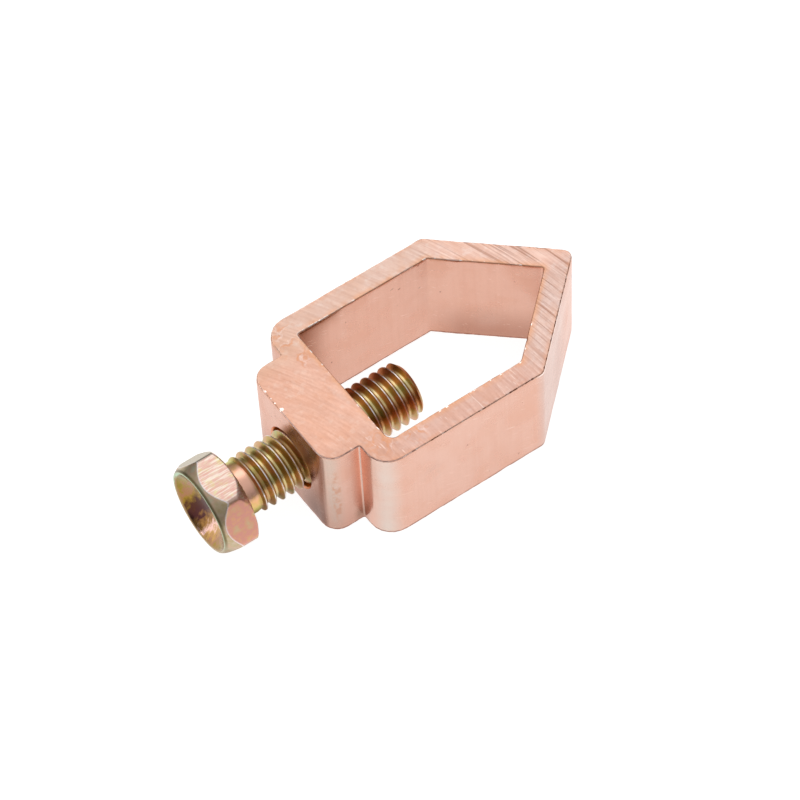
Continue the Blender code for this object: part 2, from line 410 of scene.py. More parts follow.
def roll_up(grid, angle, radius, height):
    """Moves the grid's points round the Z axis, closes its seams and ends the tree."""
    sideways = radius * calc("COSINE", angle)
    place = add("ShaderNodeCombineXYZ", sideways, radius * calc("SINE", angle), height)
    moved = add("GeometryNodeSetPosition", grid, None, place)
    closed = add("GeometryNodeMergeByDistance", moved, None, SAME_PLACE)
    real = add("GeometryNodeRealizeInstances", closed)
    painted = add("GeometryNodeSetMaterial", real, None, size["Material"])
    plug(painted, tree.nodes.new("NodeGroupOutput").inputs[0])
    print(tree.name, "has", len(tree.nodes), "nodes")
    return tree


size = open_geometry(
    "wind_thread", "Pitch", "Crest Radius", "Root Radius", "Crest Flat", "Low End", "High End",
    "Neck Radius", "Neck End", "Run In End", "Tip Chamfer",
)
grid, turn, row = flat_grid(THREAD_COLUMNS, TURNS * ROWS_PER_TURN)
climb = row * TURNS
turns_up = climb + turn - (TURNS_BELOW + THREAD_START / math.tau)
height = turns_up * size["Pitch"]

off_ridge = abs(calc("FRACT", climb) - 0.5) * size["Pitch"]
down_flank = larger(off_ridge - size["Crest Flat"] * 0.5, 0)
ridge = size["Crest Radius"] - down_flank * FLANK_SLOPE
neck_end, neck_radius = size["Neck End"], size["Neck Radius"]
crest_starts = neck_end + size["Pitch"] * 0.5
crest_limit = remap(height, neck_end, crest_starts, neck_radius, size["Crest Radius"])
root_line = remap(height, neck_end, size["Run In End"], neck_radius, size["Root Radius"])
wound = calc("SMOOTH_MIN", calc("SMOOTH_MAX", ridge, root_line, BLEND), crest_limit, BLEND)

tip_cone = size["Crest Radius"] + (size["High End"] - height) - size["Tip Chamfer"]
chamfered = smaller(wound, larger(tip_cone, size["Root Radius"]))
fillet_turn = smaller(larger(1 - height / UNDERHEAD_FILLET, 0), 1)
fillet_drop = calc("SQRT", 1 - fillet_turn * fillet_turn)
shaped = chamfered + (1 - fillet_drop) * UNDERHEAD_FILLET
past_end = larger(height > size["High End"], height < size["Low End"])
gathered = shaped + past_end * (size["Root Radius"] - shaped)
is_cap = (row < END_ROW) + (row > 1 - END_ROW)
held_height = smaller(larger(height, size["Low End"]), size["High End"])
thread_tree = roll_up(grid, turn * math.tau, gathered * (1 - is_cap), held_height)

# %% [markdown]
# ## The bolt's shank
#
# The sizes are those of a 3/8 inch bolt with 16 turns to the inch. The tree winds the shank along
# Z from the underside of the head. The shank is then laid along Y by one rotation, which is
# written into the mesh, so that the object itself stays at the origin.

# %% Wind the shank
PITCH = 0.0254 / 16
THREAD_DEPTH = 0.58 * PITCH
CREST_RADIUS = 0.00472
BOLT_LENGTH = 0.03175
SHANK_SIZES = {
    "Pitch": PITCH,
    "Crest Radius": CREST_RADIUS,
    "Root Radius": CREST_RADIUS - THREAD_DEPTH,
    "Crest Flat": PITCH / 8,
    "Low End": -0.0012,
    "High End": BOLT_LENGTH,
    "Neck Radius": CREST_RADIUS - 0.00042,
    "Neck End": 0.0020,
    "Run In End": 0.0048,
    "Tip Chamfer": 0.0009,
}
HEAD_UNDERSIDE = bolt_high.y - BOLT_LENGTH
at_underside = Matrix.Translation((AXIS_X, HEAD_UNDERSIDE, AXIS_Z))
lay_along_y = at_underside @ Matrix.Rotation(-math.pi / 2, 4, "X")


def grow(name, recipe, sizes, material):
    """Runs a tree with those sizes; returns its result as a plain mesh that lies along Y."""
    seedling = put(name, bpy.data.meshes.new(name))
    modifier = seedling.modifiers.new(name, "NODES")
    modifier.node_group = recipe
    values = {**sizes, "Material": material}
    for item in recipe.interface.items_tree:
        if item.in_out == "INPUT" and item.name in values:
            modifier[item.identifier] = values[item.name]
    evaluated = seedling.evaluated_get(bpy.context.evaluated_depsgraph_get())
    mesh = bpy.data.meshes.new_from_object(evaluated)
    bpy.data.objects.remove(seedling, do_unlink=True)
    shell = bmesh.new()
    shell.from_mesh(mesh)
    bmesh.ops.recalc_face_normals(shell, faces=shell.faces)
    shell.to_mesh(mesh)
    shell.free()
    mesh.transform(lay_along_y)
    return mesh


shank = grow("shank", thread_tree, SHANK_SIZES, finish["zinc_thread"])
print("the shank has", len(shank.polygons), "faces")

# %% [markdown]
# ## The bolt's head
#
# A cold-formed head is a hexagon whose top was turned to a blunt cone, with a dish pressed into it
# by the maker's punch. A cube with six bevels can't give the curved lines where that cone meets
# the flats. Again a grid is rolled up: the radius follows the hexagon, and two formulas give the
# underside and the top for each radius. The curved lines then come by themselves.

# %% Build the head tree
HEAD_COLUMNS = 240
HEAD_ROWS = 190
SIDE_FROM = 0.10
SIDE_TO = 0.40
CORNER_ROUNDING = 0.00035
RIM_ROUNDING = 0.00020
EDGE_ROUNDING = 0.00024
WORN_CORNER = 0.0011
WORN_SHARPNESS = 10
UNDER_FLAT_INSET = 0.0002
UNDER_CURVE = 1.25
DISH_CURVE = 2.5
DISH_ROUNDING = 0.08
SIXTH = math.tau / 6

size = open_geometry(
    "press_head", "Across Flats", "Height", "Rim Radius", "Crown Drop", "Under Chamfer",
    "Dish Radius", "Dish Depth", "Turn",
)
grid, around, row = flat_grid(HEAD_COLUMNS, HEAD_ROWS)
angle = around * math.tau
from_flat = (angle - size["Turn"] + 4 * math.tau) % SIXTH - SIXTH / 2
half_flats = size["Across Flats"] * 0.5
sharp_hexagon = half_flats / calc("COSINE", from_flat)
corner_radius = half_flats / math.cos(SIXTH / 2)
hexagon = calc("SMOOTH_MIN", sharp_hexagon, corner_radius - CORNER_ROUNDING / 4, CORNER_ROUNDING)

out_below = remap(row, 0, SIDE_FROM)
up_side = remap(row, SIDE_FROM, SIDE_TO)
in_above = remap(row, SIDE_TO, 1)
under_from = half_flats - UNDER_FLAT_INSET
crown_slope = size["Crown Drop"] / (corner_radius - size["Rim Radius"])


def underside(radius):
    """The height of the underside at a radius: flat, then rising to the corners in a curve."""
    share = larger(radius - under_from, 0) / (corner_radius - under_from)
    toward_worn = larger(calc("COSINE", angle - size["Turn"]), 0)
    uneven_chamfer = size["Under Chamfer"] + toward_worn ** WORN_SHARPNESS * WORN_CORNER
    return share ** UNDER_CURVE * uneven_chamfer


def topside(radius):
    """The height of the crown, the rim and the dish at a radius."""
    crown = (radius - size["Rim Radius"]) * crown_slope
    rim = size["Height"] - calc("SMOOTH_MAX", crown, 0, RIM_ROUNDING)
    share = radius / size["Dish Radius"]
    dish = calc("SMOOTH_MAX", 1 - share ** DISH_CURVE, 0, DISH_ROUNDING)
    return rim - size["Dish Depth"] * dish


def eased(distance):
    """A distance past an edge, or 0 before it, with the change spread over the edge's rounding."""
    share = remap(distance, -EDGE_ROUNDING, EDGE_ROUNDING)
    return larger(distance - EDGE_ROUNDING, 0) + share * share * EDGE_ROUNDING


side_height = topside(hexagon) - underside(hexagon)
past_top = in_above * hexagon - (1 - up_side) * side_height
past_bottom = (1 - out_below) * hexagon - up_side * side_height
radius = larger(hexagon - (eased(past_top) + eased(past_bottom)), 0)
from_top = topside(radius) - eased(past_top * -1)
from_bottom = underside(radius) + eased(past_bottom * -1)
on_top_half = up_side > 0.5
height = from_top * on_top_half + from_bottom * (1 - on_top_half)
head_tree = roll_up(grid, angle, radius, height * -1)

# %% [markdown]
# ## The finished bolt
#
# The head and the shank are one forging. The shank reaches 1.2 mm into the head and both meshes
# become one object. The head's faces are then sorted by where they lie, because its flats, crown
# and dish took the plating differently. Sharp edges are marked by their angle, and last the flat
# tip is shaded flat, because soft shading would draw streaks from its middle.

# %% Press the head and join it to the shank
HEAD_HEIGHT = bolt_high.y - bolt_low.y - BOLT_LENGTH
ACROSS_FLATS = 0.01429
RIM_RADIUS = ACROSS_FLATS / 2 - 0.00035
DISH_RADIUS = RIM_RADIUS - 0.0003
HEAD_SIZES = {
    "Across Flats": ACROSS_FLATS,
    "Height": HEAD_HEIGHT,
    "Rim Radius": RIM_RADIUS,
    "Crown Drop": 0.0024,
    "Under Chamfer": 0.0008,
    "Dish Radius": DISH_RADIUS,
    "Dish Depth": 0.0022,
    "Turn": math.radians(-52),
}
CROWN_FACES_OUT = 0.3
TIP_FACES_OUT = 0.9999
BOLT_SHARP_ANGLE = math.radians(40)


def measured(mesh):
    """A mesh's faces, volume and open edges, in words."""
    shell = bmesh.new()
    shell.from_mesh(mesh)
    loose = sum(not edge.is_manifold for edge in shell.edges)
    volume = round(1e9 * shell.calc_volume())
    shell.free()
    return f"{len(mesh.polygons)} faces, {volume} cubic mm and {loose} open edges"


head = grow("head", head_tree, HEAD_SIZES, finish["zinc_flats"])
bolt_shell = bmesh.new()
bolt_shell.from_mesh(shank)
for face in bolt_shell.faces:
    face.material_index = 0
shank_faces = len(bolt_shell.faces)
bolt_shell.from_mesh(head)
bolt_shell.faces.ensure_lookup_table()
for face in bolt_shell.faces[shank_faces:]:
    centre = face.calc_center_median()
    spread = math.hypot(centre.x - AXIS_X, centre.z - AXIS_Z)
    if spread < DISH_RADIUS and HEAD_UNDERSIDE - centre.y > HEAD_HEIGHT / 2:
        face.material_index = 3
    else:
        face.material_index = 2 if -face.normal.y > CROWN_FACES_OUT else 1
hex_bolt = put("hex_bolt", finished(bolt_shell, "hex_bolt"))
for name in ZINC:
    hex_bolt.data.materials.append(finish[name])
hex_bolt.data.set_sharp_from_angle(angle=BOLT_SHARP_ANGLE)
for face in hex_bolt.data.polygons:
    face.use_smooth = face.normal.y < TIP_FACES_OUT
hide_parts("bolt")
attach(hex_bolt, "screw")
print("the bolt has", measured(hex_bolt.data))

# %% [markdown]
# ## The outline of the clamp
#
# The body is one drawn section, so one flat outline describes all of it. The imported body's upper
# face already has that outline as its border, so it is read from there and not typed again. The
# border's long straight edges are then divided, so that a ragged edge can be made later.


# %% Read the outline
EDGE_STEP = 0.00035
SAME_HEIGHT = 0.00001


def upper_borders(node):
    """The closed borders of a node's uppermost flat face, as lists of points in plan."""
    shell = bmesh.new()
    shell.from_mesh(node.data)
    bmesh.ops.remove_doubles(shell, verts=shell.verts, dist=SAME_PLACE)
    level = max(vertex.co.z for vertex in shell.verts) - SAME_HEIGHT
    upper = {face for face in shell.faces if all(vertex.co.z > level for vertex in face.verts)}
    neighbours = {}
    for edge in shell.edges:
        if sum(face in upper for face in edge.link_faces) == 1:
            first, second = edge.verts
            neighbours.setdefault(first, []).append(second)
            neighbours.setdefault(second, []).append(first)
    borders = []
    while neighbours:
        walk = [next(iter(neighbours))]
        while True:
            following = [vertex for vertex in neighbours.pop(walk[-1]) if vertex in neighbours]
            if not following:
                break
            walk.append(following[0])
        borders.append(np.array([(vertex.co.x, vertex.co.y) for vertex in walk]))
    shell.free()
    return borders


def signed_area(points):
    """Twice the area inside a closed border, positive when it runs anticlockwise."""
    following = np.roll(points, -1, axis=0)
    return float(np.sum(points[:, 0] * following[:, 1] - following[:, 0] * points[:, 1]))


def divide(points, longest):
    """The border with extra points, so that no two neighbours are further apart than longest."""
    result = []
    for start, end in zip(points, np.roll(points, -1, axis=0)):
        count = max(1, math.ceil(float(np.linalg.norm(end - start)) / longest))
        for number in range(count):
            result.append(start + (end - start) * number / count)
    return np.array(result)


borders = upper_borders(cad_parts["clamp_body"])
borders.sort(key=lambda points: -abs(signed_area(points)))
outer, inner = borders
if signed_area(outer) < 0:
    outer = outer[::-1]
if signed_area(inner) > 0:
    inner = inner[::-1]
outer = divide(outer, EDGE_STEP)
inner = divide(inner, EDGE_STEP)
print(len(borders), "borders, of", len(outer), "and", len(inner), "points")

# %% [markdown]
# ## The ring and its boss
#
# The blank is the drawn section cut to length by a saw. A plain extrusion would have edges as
# sharp as paper and would look like plastic. Real sawn edges are a little rounded, chipped and
# lipped with burr. So the wall is built from many rings of the outline, and the rings next to the
# sawn faces are pushed in and down by uneven amounts. The uneven amounts come from numbers with a
# fixed seed, joined smoothly, so the edge is the same each time.


# %% Stack the outline into a wall
# Each row: depth from the sawn face, its play, how far the wall is set in, and its play.
EDGE_ROWS = (
    (0.00130, 0.0, 0.00000, 0.0),
    (0.00060, 0.0, 0.00000, 0.00001),
    (0.00022, 0.0, 0.00001, 0.00003),
    (0.00009, 0.00004, 0.00002, 0.00006),
    (0.00003, 0.00005, 0.00004, 0.00009),
    (0.00000, 0.00004, 0.00008, 0.00009),
    (0.00004, 0.0, 0.00018, 0.00006),
    (0.00004, 0.0, 0.00030, 0.0),
    (0.00004, 0.0, 0.00080, 0.0),
    (0.00004, 0.0, 0.00125, 0.0),
)
SAWN_ROWS = 7
WALL_ROWS = 12
OUTER_SEED = 3
INNER_SEED = 57
# Each kind of unevenness: how many points it takes to change, and what it adds to the seed.
COARSE, FINE, BROKEN = (9, 0), (2, 10), (5, 20)
CHIP_GAIN = 4
CHIP_LEVEL = 3.3
CHIP_INSET = 1.5
CHIP_DEPTH = 2


def uneven(count, spacing, seed):
    """Numbers from 0 to 1 that change smoothly round a closed border."""
    knots = np.random.default_rng(seed).random(max(4, count // spacing))
    around = np.arange(count) * len(knots) / count
    low = np.floor(around).astype(int)
    share = around - low
    share = share * share * (3 - 2 * share)
    return knots[low % len(knots)] * (1 - share) + knots[(low + 1) % len(knots)] * share


def away_from_metal(points):
    """For each point of a border, the direction in plan that leaves the metal."""
    ahead = np.roll(points, -1, axis=0) - points
    ahead /= np.linalg.norm(ahead, axis=1)[:, None]
    side = np.column_stack((ahead[:, 1], -ahead[:, 0]))
    both = side + np.roll(side, 1, axis=0)
    return 2 * both / np.sum(both * both, axis=1)[:, None]


def wall_rings(points, seed):
    """The border's rings from the lower sawn face to the upper one, worn next to both."""
    out = away_from_metal(points)
    count = len(points)
    upper, lower = [], []
    for side_number, side in enumerate((lower, upper)):
        coarse, fine, broken = (
            uneven(count, spacing, seed + added + side_number)
            for spacing, added in (COARSE, FINE, BROKEN)
        )
        rough = 0.6 * coarse + 0.4 * fine
        chips = np.clip(CHIP_GAIN * broken - CHIP_LEVEL, 0, 1)
        for depth, depth_play, inset, inset_play in EDGE_ROWS:
            inward = inset + inset_play * (rough + CHIP_INSET * chips)
            down = depth + depth_play * (rough + CHIP_DEPTH * chips)
            height = down if side_number == 0 else SAWN_LENGTH - down
            plan = points - out * inward[:, None]
            side.append(np.column_stack((plan, body_low.z + height)))
    middle = []
    first = EDGE_ROWS[0][0]
    for number in range(1, WALL_ROWS):
        height = first + (SAWN_LENGTH - 2 * first) * number / WALL_ROWS
        middle.append(np.column_stack((points, np.full(count, body_low.z + height))))
    return lower[::-1] + middle + upper


def add_wall(shell, rings):
    """Joins the rings with faces that look away from the metal; returns the first and last rows."""
    rows = [[shell.verts.new(point) for point in ring] for ring in rings]
    count = len(rows[0])
    for number, (below, above) in enumerate(zip(rows, rows[1:])):
        worn = number < SAWN_ROWS or number >= len(rows) - 1 - SAWN_ROWS
        for index in range(count):
            following = (index + 1) % count
            face = shell.faces.new((below[index], below[following], above[following], above[index]))
            face.material_index = 0 if worn else 1
            face.smooth = True
    return rows[0], rows[-1]


def border_edges(shell, row):
    """The edges between neighbouring points of a ring."""
    return [shell.edges.get((first, second)) for first, second in zip(row, row[1:] + row[:1])]


body_shell = bmesh.new()
caps = []
for points, seed in ((outer, OUTER_SEED), (inner, INNER_SEED)):
    caps.append(add_wall(body_shell, wall_rings(points, seed)))
for which, facing in ((0, -1), (1, 1)):
    edges = border_edges(body_shell, caps[0][which]) + border_edges(body_shell, caps[1][which])
    filled = bmesh.ops.triangle_fill(
        body_shell, edges=edges, use_beauty=True, normal=(0, 0, facing)
    )
    for item in filled["geom"]:
        if isinstance(item, bmesh.types.BMFace):
            item.material_index = 0
            if item.normal.z * facing < 0:
                item.normal_flip()
bmesh.ops.recalc_face_normals(body_shell, faces=body_shell.faces)
blank_mesh = finished(body_shell, "clamp_blank")
for name in COPPER:
    blank_mesh.materials.append(finish[name])
print("the blank has", measured(blank_mesh))

# %% [markdown]
# ## Tapping the hole
#
# In the workshop the hole is drilled, its mouths are chamfered and a tap cuts the thread. The same
# happens here: the thread's tree winds a tap a little larger than the bolt, a cone at each mouth
# gives the chamfer, and one boolean cut takes both out of the blank. The tap's ridge is wound from
# the bolt's own place, so bolt and hole match at rest and after every whole turn.

# %% Cut the hole
THREAD_CLEARANCE = 0.00006
TAP_RADIUS = CREST_RADIUS + THREAD_CLEARANCE
TAP_SIZES = {
    **SHANK_SIZES,
    "Crest Radius": TAP_RADIUS,
    "Root Radius": TAP_RADIUS - THREAD_DEPTH,
    "Low End": 0.0090,
    "High End": 0.0220,
    "Neck Radius": TAP_RADIUS,
    "Neck End": -1.0,
    "Run In End": -0.9,
    "Tip Chamfer": 0.0,
}
BOSS_FRONT = float(outer[:, 1].min())
NEAR_AXIS = 0.001
RING_FLOOR = float(inner[np.abs(inner[:, 0] - AXIS_X) < NEAR_AXIS, 1].min())
MOUTH_CHAMFER = 0.0005
MOUTH_RADIUS = TAP_RADIUS + MOUTH_CHAMFER
MOUTH_RUN = 1.4 * MOUTH_CHAMFER
OVERRUN = 0.0005
CUTTER_SIDES = 96
CUTTER_START = 0.37
RING_SHARP_ANGLE = math.radians(38)


def cone_between(shell, *ends):
    """Adds a closed cone round the bolt's axis, from the place and radius of each end."""
    rows = []
    for along, radius in ends:
        numbers = range(CUTTER_SIDES)
        turns = [math.tau * (number + CUTTER_START) / CUTTER_SIDES for number in numbers]
        circle = [(radius * math.cos(turn), radius * math.sin(turn)) for turn in turns]
        rows.append([shell.verts.new((AXIS_X + x, along, AXIS_Z + z)) for x, z in circle])
    for index in range(CUTTER_SIDES):
        after = (index + 1) % CUTTER_SIDES
        shell.faces.new((rows[0][index], rows[0][after], rows[1][after], rows[1][index]))
    shell.faces.new(rows[0])
    shell.faces.new(rows[1])


tap = grow("tap", thread_tree, TAP_SIZES, finish["copper_thread"])
mouths = bmesh.new()
for face_y, inwards in ((BOSS_FRONT, 1), (RING_FLOOR, -1)):
    outer_end = (face_y - inwards * OVERRUN, MOUTH_RADIUS + OVERRUN)
    inner_end = (face_y + inwards * MOUTH_RUN, MOUTH_RADIUS - MOUTH_RUN)
    cone_between(mouths, *sorted((outer_end, inner_end)))
bmesh.ops.recalc_face_normals(mouths, faces=mouths.faces)
mouth_mesh = finished(mouths, "mouths")
mouth_mesh.materials.append(finish["copper_thread"])

clamp_ring = put("clamp_ring", blank_mesh)
cutters = [put("cutter", mesh) for mesh in (mouth_mesh, tap)]
for cutter in cutters:
    cutting = clamp_ring.modifiers.new("cut", "BOOLEAN")
    cutting.operation = "DIFFERENCE"
    cutting.solver = "EXACT"
    cutting.object = cutter
evaluated = clamp_ring.evaluated_get(bpy.context.evaluated_depsgraph_get())
tapped = bpy.data.meshes.new_from_object(evaluated)
clamp_ring.modifiers.clear()
clamp_ring.data = tapped
tapped.name = "clamp_ring"
for cutter in cutters:
    bpy.data.objects.remove(cutter, do_unlink=True)
tapped.set_sharp_from_angle(angle=RING_SHARP_ANGLE)
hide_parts("clamp_body")
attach(clamp_ring, "clamp")
print("the ring has", measured(tapped))

# %% [markdown]
# ## Where the edges are
#
# Wear, burr and bare bright metal gather along edges. A material can't measure how far a point is
# from an edge, but the mesh can. So each point of the ring stores two numbers: how near it is to
# the outer sawn edges and to the inner ones. The materials read them by name.

# %% Measure the distance to each edge
EDGE_REACH = 0.0012
BLOCK = 4000


def store(mesh, name, values):
    """Gives each point of a mesh one number under that name."""
    attribute = mesh.attributes.new(name, "FLOAT", "POINT")
    attribute.data.foreach_set("value", np.asarray(values, dtype=np.float32))


points = np.empty(len(tapped.vertices) * 3)
tapped.vertices.foreach_get("co", points)
points = points.reshape(-1, 3)
to_face = np.minimum(points[:, 2] - body_low.z, body_high.z - points[:, 2])
for name, border in (("outer_edge", outer), ("inner_edge", inner)):
    in_plan = np.empty(len(points))
    for start in range(0, len(points), BLOCK):
        apart = points[start : start + BLOCK, None, :2] - border[None, :, :]
        nearest = np.min(np.sum(apart * apart, axis=2), axis=1)
        in_plan[start : start + BLOCK] = np.sqrt(nearest)
    nearness = 1 - np.minimum(np.hypot(in_plan, to_face) / EDGE_REACH, 1)
    store(tapped, name, nearness)
    print(name, "is felt by", int(np.sum(nearness > 0)), "points")


# %% [markdown]
# ## Helpers for the finishes
#
# Every finish starts from the place on the piece, turned into millimetres so that the numbers in
# the patterns are real sizes. A grain is soft noise. Stretched along one direction it becomes
# scratches, and cut off at a threshold it becomes specks.


# %% Write the finish helpers
TO_MM = (1000, 1000, 1000)


def stretch(vector, x, y, z):
    """A vector with each of its parts multiplied."""
    return add("ShaderNodeVectorMath", vector, (x, y, z), operation="MULTIPLY")


def whole(x, y, z):
    """A vector made of three parts."""
    return add("ShaderNodeCombineXYZ", x, y, z)


def grain(vector, scale, detail, seed):
    """Soft noise from 0 to 1 with so many grains to the millimetre."""
    return add("ShaderNodeTexNoise", vector, seed, scale, detail, noise_dimensions="4D")


def mix(share, first, second, mode="MIX"):
    """A blend of two colours. The node's other inputs, between these, are for other kinds."""
    inputs = (share, *(None,) * 5, first, second)
    return add("ShaderNodeMix", *inputs, output=2, data_type="RGBA", blend_type=mode)


def multiplied(colour, tone):
    """A colour times another."""
    return mix(1.0, colour, tone, mode="MULTIPLY")


def spot(place, centre, reach):
    """1 at a place on the piece, in mm, and 0 from reach mm away."""
    away = add("ShaderNodeVectorMath", place, centre, operation="DISTANCE", output="Value")
    return remap(away, 0, reach, 1, 0, smooth=True)


def spots(place, *many):
    """The largest of some spots, each given by its centre and reach."""
    largest = spot(place, *many[0])
    for centre, reach in many[1:]:
        largest = larger(largest, spot(place, centre, reach))
    return largest


def stored(name):
    """A number that the mesh stores under that name."""
    return add("ShaderNodeAttribute", output="Fac", attribute_name=name)


def start_finish(name, **settings):
    """Opens a finish's tree, sets inputs of its shader and returns the place in millimetres."""
    global tree
    tree = finish[name].node_tree
    set_shader(Metallic=1, **settings)
    return stretch(add("ShaderNodeTexCoord", output="Object"), *TO_MM)


def end_finish(name, colour, relief, depth_mm, roughness=None):
    """Ends a finish in its colour, a relief of that depth and, if given, a changing roughness."""
    bump = tree.nodes.new("ShaderNodeBump")
    plug(1, bump.inputs["Strength"])
    plug(depth_mm / 1000, bump.inputs["Distance"])
    plug(relief, bump.inputs["Height"])
    set_shader(Base_Color=colour, Roughness=roughness, Normal=Value(bump.outputs[0]))
    print(name, "has", len(tree.nodes), "nodes")


print("finish helpers ready")

# %% [markdown]
# ## Sawn copper
#
# The round saw left long shallow arcs, all about one far centre. Measuring each point from that
# centre gives a distance and an angle, and noise that changes fast with the one and slowly with
# the other draws such arcs. They are deepest at the point, and nearly rubbed away on the boss.
# Deep grooves are rarer, so they are the same kind of noise cut off high. Rubbed copper is more
# orange, so smears at the shoulders and bands along the edges are mixed towards orange. Under the
# curled burr along the edges a dark ragged line is painted shade, and the bottom edges get painted
# shade as well. Pale lines along the near edges, and white glints where the burr broke off and at
# a few nicks, are painted highlights.

# %% Paint the sawn faces
SAW_CENTRE = (20, -50, 0)
SAW_REACH = 90
TOP = 1000 * SAWN_LENGTH

place = start_finish("copper_sawn", Specular_Tint=(0.92, 0.66, 0.54))
from_saw = add("ShaderNodeVectorMath", place, SAW_CENTRE, operation="SUBTRACT")
saw_x, saw_y, saw_z = parts(from_saw)
arc = calc("SQRT", saw_x * saw_x + saw_y * saw_y)
along_arc = calc("ARCTAN2", saw_y, saw_x) * SAW_REACH
sawn = whole(arc, along_arc, saw_z)
x, y, z = parts(place)

fine = remap(grain(stretch(sawn, 3.8, 0.22, 0.2), 1, 4, 1), 0.32, 0.68)
broad = grain(stretch(sawn, 0.8, 0.12, 0.2), 1, 3, 2)
cloud = grain(place, 0.3, 5, 3)
pepper = grain(place, 2.0, 4, 9)
calm = remap(y, 2, 26, 0.3, 1)
lines = calc("MULTIPLY_ADD", fine - 0.5, calm, 0.5)
colour = mix(lines, (0.765, 0.445, 0.345), (0.83, 0.545, 0.445))
colour = mix(remap(broad, 0.42, 0.64, 0, 0.45), colour, (0.84, 0.585, 0.5))
colour = mix(remap(cloud, 0.46, 0.62, 0, 0.6), colour, (0.77, 0.44, 0.325))
colour = mix(remap(pepper, 0.48, 0.7, 0, 0.4), colour, (0.7, 0.4, 0.31))
paler = remap(grain(place, 1.1, 4, 36), 0.54, 0.68, 0, 0.5)
colour = mix(paler, colour, (0.84, 0.62, 0.54))
on_boss = remap(y, 1.0, 7.0, 1, 0)
colour = mix(on_boss, colour, multiplied(colour, (1.0, 0.93, 0.86)))

arms = (
    (remap(x, -7, -10) * remap(y, 30, 27), (0.96, 1.06, 1.08)),
    (remap(x, 7, 10) * remap(y, 30, 27), (0.89, 0.88, 0.88)),
    (remap(x, 1, -2) * remap(y, 27, 30), (1.08, 1.17, 1.2)),
    (remap(x, -1, 2) * remap(y, 27, 30), (0.94, 1.05, 1.11)),
)
for share, tone in arms:
    colour = mix(share, colour, multiplied(colour, tone))

at_point = remap(y, 23, 37, 0.1, 1)
grooved = remap(grain(stretch(sawn, 2.4, 0.045, 0.2), 1, 3, 4), 0.55, 0.63)
scratched = remap(grain(stretch(sawn, 4.6, 0.1, 0.2), 1, 2, 15), 0.54, 0.66, 0, 0.5)
groove = larger(grooved, scratched) * at_point
colour = mix(groove * 0.72, colour, (0.46, 0.22, 0.15))
on_right = remap(x, 6, 11)
scored = remap(grain(stretch(sawn, 3.0, 0.3, 0.2), 1, 1, 5), 0.655, 0.7)
scored = scored * remap(on_right, 0, 1, 0.15, 1)
colour = mix(scored * 0.55, colour, (0.95, 0.74, 0.65))

smear = spots(
    place,
    ((-12.9, 2.3, TOP), 3.4),
    ((-11.1, 1.8, TOP), 2.4),
    ((-8.3, 2.2, TOP), 3.2),
    ((-5.0, 5.3, TOP), 2.8),
    ((11.4, 3.0, TOP), 3.6),
    ((12.6, 8.0, TOP), 3.0),
)
swirl_noise = grain(place, 0.4, 3, 6) - 0.5
swirl = remap(abs(swirl_noise), 0.006, 0.04, 1, 0)
colour = mix(smear * swirl * 0.85, colour, (0.74, 0.34, 0.19))
beside = remap(abs(swirl_noise - 0.06), 0.006, 0.022, 1, 0)
colour = mix(smear * beside * 0.5, colour, (0.9, 0.7, 0.62))

near_inner = stored("inner_edge")
near_outer = stored("outer_edge")
wander = grain(place, 0.5, 4, 7)
ragged = grain(place, 1.7, 3, 8)
broken = grain(place, 1.2, 2, 16)
inner_corner = spot(place, (11.0, 5.0, TOP), 3.5)
inner_patch = larger(remap(wander, 0.36, 0.54), inner_corner)
inner_band = remap(near_inner, 0.1, 0.8) * inner_patch
colour = mix(inner_band * 0.7, colour, (0.8, 0.4, 0.22))
# Painted shade: a dark ragged line under the burr along the inner edges.
inner_shade_line = remap(near_inner, 0.86, 0.94) * remap(ragged, 0.44, 0.54)
colour = mix(inner_shade_line * 0.55, colour, (0.42, 0.18, 0.11))
torn = spot(place, (-12.3, 7.4, TOP), 5.5) * remap(ragged, 0.42, 0.48)
torn = larger(remap(broken, 0.6, 0.65), torn)
# Painted highlight: white glints where the inner burr broke off.
inner_shine = remap(near_inner, 0.72, 0.82) * torn

outer_band = remap(near_outer, 0.25, 0.9) * remap(wander, 0.44, 0.58)
colour = mix(outer_band * 0.5, colour, (0.76, 0.38, 0.23))
burred_side = larger(remap(x, 5, 9, 0.25, 1), remap(y, 27, 33, 0.25, 1))
burr_edge = near_outer + ragged * 0.35
# Painted shade: a dark ragged line under the curled burr on the outer edges, paler on the near side
# as a painted highlight.
burr_shade_line = remap(burr_edge, 1.02, 1.1) * remap(ragged, 0.49, 0.55)
burr_shade_line = burr_shade_line * burred_side
near_side = remap(y, 9, 4) * remap(x, 0, 3)
# Painted highlight: a pale line along the near outer edges.
colour = mix(near_side * remap(near_outer, 0.84, 0.94), colour, (0.98, 0.84, 0.8))
painted_burr_colour = mix(near_side, (0.2, 0.07, 0.04), (0.56, 0.36, 0.31))
colour = mix(burr_shade_line * 0.95, colour, painted_burr_colour)
# Painted highlight: white glints where the outer burr broke off.
outer_shine = remap(near_outer, 0.84, 0.92) * remap(broken, 0.6, 0.65)
# Painted highlight: a pale line along the boss's front edge.
boss_edge_highlight = remap(near_outer, 0.88, 0.94) * remap(y, -5.2, -5.5)
boss_edge_highlight = boss_edge_highlight * remap(x, 5.0, 2.0)
colour = mix(boss_edge_highlight * 0.7, colour, (0.92, 0.82, 0.86))
